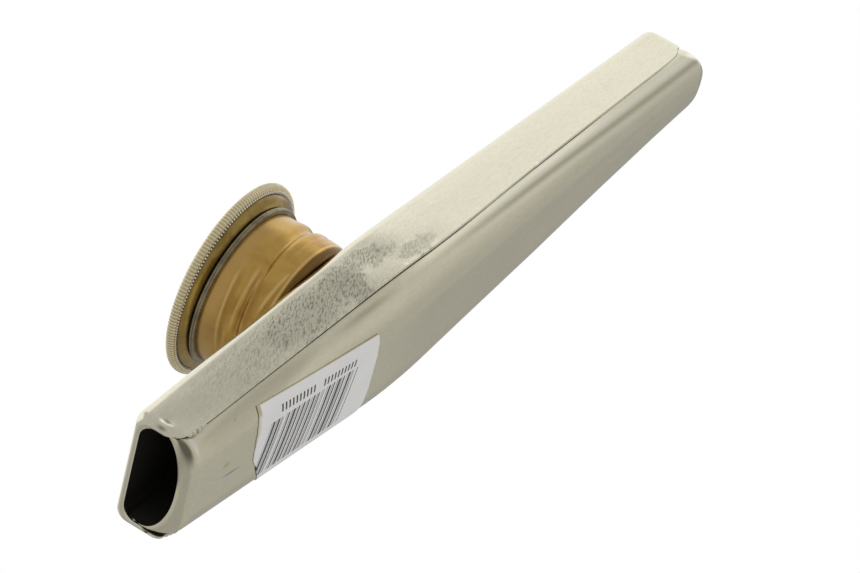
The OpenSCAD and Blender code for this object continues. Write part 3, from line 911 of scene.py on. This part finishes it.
def cap_profile(angle):
    walls = np.linspace(SKIRT_END + THIN, COLLAR_H, 44)
    hem_end = (hem_arc[0][0] - 0.05, hem_arc[0][1] + HEM_LIP)
    rim = flare_under + [hem_end] + hem_arc + flare_over
    return ([(CAP_HOLE_R, SKIRT_END + 0.1), (CAP_HOLE_R + 0.1, SKIRT_END),
             (SKIRT_ROOT - THIN, SKIRT_END), (SKIRT_ROOT - 0.08, SKIRT_END + 0.1)]
            + [(skirt(angle, z), z) for z in walls] + [(r, warped(r, angle, z)) for r, z in rim]
            + [(skirt(angle, z) - THIN, z) for z in walls[::-1]]
            + [(CAP_HOLE_R + 0.1, SKIRT_END + THIN), (CAP_HOLE_R, SKIRT_END + THIN - 0.1)])


cap = turned("cap_spun", cap_profile, 240)

OLIVE_GOLD, OLIVE_DEEP = (0.40, 0.275, 0.075), (0.23, 0.15, 0.035)
PALE_BRASS, CREVICE_SHADE = (0.62, 0.53, 0.31), (0.10, 0.075, 0.03)


def cap_build(surface):
    point, around, _, z, radius = turret_place(surface)
    spun = around.stretched((0.25, 7, 7)).noise(1.0, 3, 0.6)
    pool = point.noise(0.25, 4, 0.6, 0.5)
    stains = point.noise(0.9, 3).rising(0.62, 0.75)
    shade = pool.rising(0.35, 0.7).tint(OLIVE_GOLD, OLIVE_DEEP)
    shade = (stains * 0.4).tint(shade, OLIVE_DEEP)
    # Painted shade in the crevice where the rolled-under hem ends against the flare
    shade = (radius.hill(brink[0] - 0.06, 0.2) * z.rising(RIM_TOP, brink[1]) * 0.9).tint(shade, CREVICE_SHADE)
    worn = radius.rising(brink[0] + 0.05, brink[0] + 0.25)
    shade = worn.tint(shade, PALE_BRASS)
    return {"Base Color": shade, "Metallic": 1.0, "Roughness": 0.24 + pool * 0.12 + worn * 0.1,
            "Coat Weight": 0.2 - worn * 0.2, "Coat Roughness": 0.2,
            "Bump": (spun * 0.4 + pool * 1.5, 0.01)}


dress(cap, finish("cap_gold", cap_build))
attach(cap, "cap")
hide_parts("screw_cap")

# Knurling. Fine straight ribs rolled across the hem, worn bright, with a row of teeth where the
# rolled-under edge ends against the flare.
KNURLS = 176
# A bar's section, as shares of its width and height
BAR_SECTION = ((-0.5, -0.6), (-0.32, 0.55), (0, 1.0), (0.32, 0.55), (0.5, -0.6))


def rubbed(name, bright, dull, metallic, patches, grain):
    """Metal that handling has rubbed bright in patches, with a fine grain."""

    def build(surface):
        point, *_ = place_of(surface)
        worn = point.noise(patches, 3)
        return {"Base Color": worn.tint(bright, dull), "Metallic": metallic,
                "Roughness": 0.3 + worn * 0.15, "Bump": (point.noise(grain, 2), 0.01)}

    return finish(name, build)


knurl_worn = rubbed("knurl_worn", (0.97, 0.89, 0.66), (0.80, 0.70, 0.45), 1.0, 0.8, 6)
tooth_tin = rubbed("tooth_tin", (0.95, 0.93, 0.88), (0.78, 0.75, 0.66), 0.15, 1.5, 8)


def swept_bar(name, path, wide, high):
    """A rounded bar along a path in the plane of the turret's axis, tapered at its ends."""
    bm = bmesh.new()
    rings = []
    path = np.array(path)
    last = len(path) - 1
    for i, p in enumerate(path):
        ahead = path[min(i + 1, last)] - path[max(i - 1, 0)]
        ahead = ahead / np.linalg.norm(ahead)
        out = np.array([ahead[1], -ahead[0]])
        size = min(1.0, 0.25 + 1.2 * min(i, last - i))
        ring = []
        for y, h in BAR_SECTION:
            x, z = p + out * h * high * size
            ring.append(bm.verts.new((x * MM, y * wide * size * MM, z * MM)))
        rings.append(ring)
    for ring, after in zip(rings, rings[1:]):
        band(bm, ring, after)
    bm.faces.new(rings[0])
    bm.faces.new(reversed(rings[-1]))
    return finished(name, bm, 60)


def round_the_rim(name, bar, material, start):
    """Copies of a bar set round the turret's axis, joined to one plain mesh."""
    tree = bpy.data.node_groups.new(name, "GeometryNodeTree")
    inputs = {"Bar": ("Object", bar), "Count": ("Int", KNURLS), "Start": ("Float", start),
              "Finish": ("Material", material)}
    for label, (kind, _) in inputs.items():
        tree.interface.new_socket(label, in_out="INPUT", socket_type="NodeSocket" + kind)
    tree.interface.new_socket("Geometry", in_out="OUTPUT", socket_type="NodeSocketGeometry")
    node = Socket(tree).node
    given = {label: node("NodeGroupInput", {}, output=label) for label in inputs}
    angle = node("GeometryNodeInputIndex", {}) / given["Count"] * (2 * math.pi) + given["Start"]
    copies = node("GeometryNodeInstanceOnPoints", {
        "Points": node("GeometryNodePoints", {"Count": given["Count"]}),
        "Instance": node("GeometryNodeObjectInfo", {"Object": given["Bar"]}, output="Geometry"),
        "Rotation": node("ShaderNodeCombineXYZ", {"Z": angle}),
    })
    real = node("GeometryNodeRealizeInstances", {0: copies})
    coated = node("GeometryNodeSetMaterial", {"Geometry": real, "Material": given["Finish"]})
    tree.links.new(coated.socket, tree.nodes.new("NodeGroupOutput").inputs[0])
    piece = put_in(name, bpy.data.meshes.new(name))
    rolled = piece.modifiers.new("knurl", "NODES")
    rolled.node_group = tree
    for item in tree.interface.items_tree:
        if item.in_out == "INPUT":
            rolled[item.identifier] = inputs[item.name][1]
    apply_modifiers(piece)
    for v in piece.data.vertices:
        r, angle = v.co.xy.length / MM, math.atan2(v.co.y, v.co.x)
        v.co.z = warped(r, angle, v.co.z / MM) * MM
    piece.data.transform(Matrix.Translation(at_turret(0, 0, 0)))
    bpy.data.objects.remove(bar)
    return piece


rib_path = arc(HEM_R, HEM_Z, HEM_W / 2 - 0.05, HEM_H / 2 - 0.05, -140, 60, 13)
knurl_bar = swept_bar("knurl_bar", rib_path, 0.30, 0.10)
knurl = round_the_rim("knurl_ribs", knurl_bar, knurl_worn, 0.0)
tooth_path = arc(HEM_R, HEM_Z, HEM_W / 2 - 0.04, HEM_H / 2 - 0.02, -162, -98, 7)
tooth_bar = swept_bar("tooth_bar", tooth_path, 0.34, 0.22)
teeth = round_the_rim("hem_teeth", tooth_bar, tooth_tin, 0.01)
for piece in (knurl, teeth):
    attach(piece, "cap")

# Label. A slip of coated white paper stuck round one bottom corner of the trough, printed with plain
# bars under a plain scale of strokes. Its near edge is torn, and old glue yellows its corner.
LABEL_AT, LABEL_FROM, LABEL_H, LABEL_SKEW = 14.0, 9.2, 14.0, math.radians(7.5)
# How far along each side edge stands at some distances down the slip; the near one is torn
NEAR_EDGE = ((0, 1.5, 3.2, 4.4, 8.0, 9.5, 11.1, 14.0), (-0.5, -0.6, -0.85, -0.6, 0.26, 1.5, 2.4, 4.8))
FAR_EDGE = ((0, 3.9, 8.7, 14.0), (23.5, 24.5, 25.0, 24.6))
LABEL_GAP, PAPER = 0.03, 0.1
PAPER_WHITE, PAPER_GREY, FIBRE_GREY = (0.83, 0.82, 0.795), (0.75, 0.745, 0.73), (0.62, 0.62, 0.61)
OLD_GLUE, INK = (0.42, 0.36, 0.16), (0.035, 0.034, 0.036)
# Widths of the cells that hold a bar or a stroke, and where the bars and the scale begin and end
BAR_CELL, STROKE_CELL = 1.06, 0.72
BARS_FROM, BARS_TO, BARS_TOP, BARS_END = 1.85, 20.2, 3.15, 11.25
SCALE_FROM, SCALE_TO, SCALE_AT, SCALE_SPLIT = 3.5, 19.5, 1.85, 11.5


def on_trough(x, distance, out):
    """A point on the trough's outside, a distance round it from the top plate, and out from it."""
    s = section(x, 0.0, 0, SHEET_STEP)
    w, r, low = s["w"], s["low_z"], s["bottom"]
    quarter, base = r * math.pi / 2, 2 * (w - r)
    over = distance + low + r
    a = min(math.pi / 2, max(0.0, over / r))
    b = min(math.pi / 2, max(0.0, (over - quarter - base) / r))
    flat = min(base, max(0.0, over - quarter))
    reach = r + out
    z = -distance if over < 0 else low + r - reach * (math.sin(a) + math.cos(b) - 1)
    return in_place(x, r - w - reach * math.cos(a) + flat + reach * math.sin(b), z)


def label_piece():
    cols, rows = 60, 44
    bm = bmesh.new()
    uv = bm.loops.layers.uv.new("print")
    sheets, places = [], {}
    for out in (LABEL_GAP + PAPER, LABEL_GAP):
        grid = []
        for i in range(cols + 1):
            row = []
            for j in range(rows + 1):
                v = LABEL_H * j / rows
                near = np.interp(v, *NEAR_EDGE) + 0.12 * wave(v * 1.3, 2.0, 0)
                u = blend(near, np.interp(v, *FAR_EDGE), i / cols)
                lift = 0.08 * max(0.0, 1 - (u - near) / 1.6) ** 2 * max(0.0, v / LABEL_H - 0.45)
                x = LABEL_AT + u * math.cos(LABEL_SKEW) - v * math.sin(LABEL_SKEW)
                round_it = LABEL_FROM + u * math.sin(LABEL_SKEW) + v * math.cos(LABEL_SKEW)
                vert = bm.verts.new(on_trough(x, round_it, out + lift) * MM)
                places[vert] = (u, v)
                row.append(vert)
            grid.append(row)
        sheets.append(grid)
    for grid in sheets:
        fill_grid(bm, grid)
    edge = border_of(cols + 1, rows + 1)
    band(bm, *([grid[i][j] for i, j in edge] for grid in sheets))
    for face in bm.faces:
        for loop in face.loops:
            loop[uv].uv = places[loop.vert]
    return finished("label_paper", bm, 50)


label = label_piece()


def paper_build(surface):
    u, v, _ = surface.node("ShaderNodeUVMap", {}, uv_map="print").parts()
    point, *_ = place_of(surface)
    fibre = point.noise(3.5, 4, 0.6)
    cloud = point.noise(0.3, 3)

    def picked(number):
        return surface.node("ShaderNodeTexWhiteNoise", {"W": number}, noise_dimensions="1D")

    # Even cells, each with a bar and a thin line whose widths are picked by the cell's number. They
    # lean more towards the slip's lower end, which is stuck on askew
    leaning = u - v * 0.05 + v * v * 0.012
    cell = surface.math("FLOOR", leaning / BAR_CELL)
    within = leaning / BAR_CELL - cell
    bar = within.rising(0.06, 0.09) * (picked(cell) * 0.46 + 0.15 - within).rising(-0.02, 0.02)
    thin = within.rising(0.74, 0.77) * (picked(cell + 40) * 0.1 + 0.83 - within).rising(-0.02, 0.02)
    field = leaning.rising(BARS_FROM, BARS_FROM + 0.05) * leaning.rising(BARS_TO, BARS_TO - 0.05)
    field = field * v.rising(BARS_TOP, BARS_TOP + 0.1) * v.rising(BARS_END, BARS_END - 0.1)
    # A plain scale of short strokes in two groups stands over the bars
    stroke = u / STROKE_CELL - surface.math("FLOOR", u / STROKE_CELL)
    scale = stroke.hill(0.5, 0.31).rising(0.1, 0.3) * (v - u * 0.02).hill(SCALE_AT, 0.62).rising(0.05, 0.15)
    scale = scale * u.rising(SCALE_FROM, SCALE_FROM + 0.1) * u.rising(SCALE_TO, SCALE_TO - 0.1)
    scale = scale * (1 - u.hill(SCALE_SPLIT, 0.8).rising(0, 0.1))
    ink = ((bar + thin) * field).at_least(scale)
    corner = u.rising(0.15, -0.1) * v.rising(1.9, 1.0)
    old_glue = corner.at_least(v.rising(0.2, 0.05)).at_least(u.rising(-0.1, -0.5) * 0.5)
    shade = cloud.tint(PAPER_WHITE, PAPER_GREY)
    shade = (fibre.rising(0.5, 0.8) * 0.12).tint(shade, FIBRE_GREY)
    shade = (old_glue * 0.8).tint(shade, OLD_GLUE)
    shade = (ink * (0.93 + fibre * 0.07)).tint(shade, INK)
    return {"Base Color": shade, "Roughness": 0.45 + fibre * 0.15 - ink * 0.1,
            "Bump": (fibre * 0.5 + cloud, 0.02)}


dress(label, finish("coated_paper", paper_build))
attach(label, "kazoo_body")
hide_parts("label")

# Studio. A camera below the mouth, where the photograph was taken, a soft lamp on each side of
# the body, white all round, and a pale floor that is seen only from above.
FOCAL_PX, PHOTO_W, SENSOR = 4856.19, 860, 36.0
EYE = (-392.06, -375.24, -208.17)
camera_data = bpy.data.cameras.new("camera")
camera_data.sensor_width = SENSOR
camera_data.lens = FOCAL_PX / PHOTO_W * SENSOR
camera_data.clip_start, camera_data.clip_end = 0.01, 10
camera = put_in("camera", camera_data)
right = Vector((0.5386, -0.2075, -0.8166)).normalized()
up = Vector((0.4275, -0.7679, 0.4771)).normalized()
back = right.cross(up).normalized()
up = back.cross(right)
turn = Matrix((right, up, back)).transposed().to_4x4()
camera.matrix_world = Matrix.Translation(Vector(in_place(*EYE)) * MM) @ turn
bpy.context.scene.camera = camera

# The lamps, the floor and the lens's reach are in metres
LAMP_SIZE, LAMP_WATTS = 0.5, 0.9
for name, place in (("side_lamp", (0.25, -0.75, 0.35)), ("top_lamp", (-0.25, 0.3, 0.9))):
    lamp_data = bpy.data.lights.new(name, "AREA")
    lamp_data.shape, lamp_data.size, lamp_data.energy = "DISK", LAMP_SIZE, LAMP_WATTS
    lamp = put_in(name, lamp_data)
    lamp.location = place
    lamp.rotation_mode = "QUATERNION"
    lamp.rotation_quaternion = (-Vector(place)).to_track_quat("-Z", "Y")
    lamp.visible_glossy = False

world = bpy.data.worlds.new("white")
bpy.context.scene.world = world
world.use_nodes = True
sky = Socket(world.node_tree)
ground = world.node_tree.nodes["Background"]
ahead, aside, upward = sky.node("ShaderNodeTexCoord", {}, output="Generated").parts()

# The white room as metal mirrors it: bright straight above, overhead beyond the outlet and on its
# open side, half as bright elsewhere above, and dim below. The dim part stands higher and is
# darker beside the far flange. The open side is this far round from the outlet towards there
OPEN_AT = math.radians(50.44)
open_side = (ahead * math.cos(OPEN_AT) + aside * math.sin(OPEN_AT)).rising(-0.05, 0.1)
open_side = open_side * ahead.rising(-0.1, 0.35)
ceiling = upward.rising(0.78, 0.92)
overhead = upward.rising(0.36, 0.54) * ahead.rising(0.3, 0.6)
above = ceiling.at_least(overhead).at_least(0.5 + open_side * 0.5)
dim = (0.5 + open_side * 0.1) * aside.rising(0.35, -0.35)
dim = dim + (0.375 + upward.rising(-0.27, -0.38) * 0.085) * aside.rising(-0.35, 0.35)
below = (upward - aside.rising(0.1, 0.6) * 0.75).rising(-0.14, -0.39)
mirrored = above * (1 - below) + dim * below
seen, shiny, through = (sky.node("ShaderNodeLightPath", {}, output=f"Is {kind} Ray")
                        for kind in ("Camera", "Glossy", "Transmission"))
level = (0.72 * (1 - shiny) + mirrored * shiny).at_least(seen).at_least(through)
world.node_tree.links.new(level.socket, ground.inputs["Strength"])
ground.inputs["Color"].default_value = (1, 1, 1, 1)

floor_mesh = bpy.data.meshes.new("floor")
FLOOR_R, FLOOR_SIDES = 0.9, 96
brim = [(x, y, 0) for x, y in arc(0, 0, FLOOR_R, FLOOR_R, 0, 360, FLOOR_SIDES)[:-1]]
floor_mesh.from_pydata(brim, [], [range(FLOOR_SIDES)])
floor = put_in("floor", floor_mesh)
floor_paint = finish("floor_paint", lambda surface: {"Base Color": (0.9, 0.9, 0.9, 1), "Roughness": 0.9})
dress(floor, floor_paint)
paint = Socket(floor_paint.node_tree)
shader = Socket(paint.tree, paint.tree.nodes["Principled BSDF"].outputs[0])
clear = paint.node("ShaderNodeBsdfTransparent", {})
from_below = paint.node("ShaderNodeNewGeometry", {}, output="Backfacing")
spot = paint.node("ShaderNodeTexCoord", {}, output="Object")
spot = paint.node("ShaderNodeVectorMath", {0: spot}, output="Value", operation="LENGTH")
hidden = from_below.at_least(spot.rising(0.35, 0.85))
mixed = paint.node("ShaderNodeMixShader", {0: hidden, 1: shader, 2: clear})
paint.tree.links.new(mixed.socket, paint.tree.nodes["Material Output"].inputs["Surface"])
for kind in ("diffuse", "glossy", "transmission", "shadow"):
    setattr(floor, f"visible_{kind}", False)

bpy.context.scene.view_settings.view_transform = "Standard"
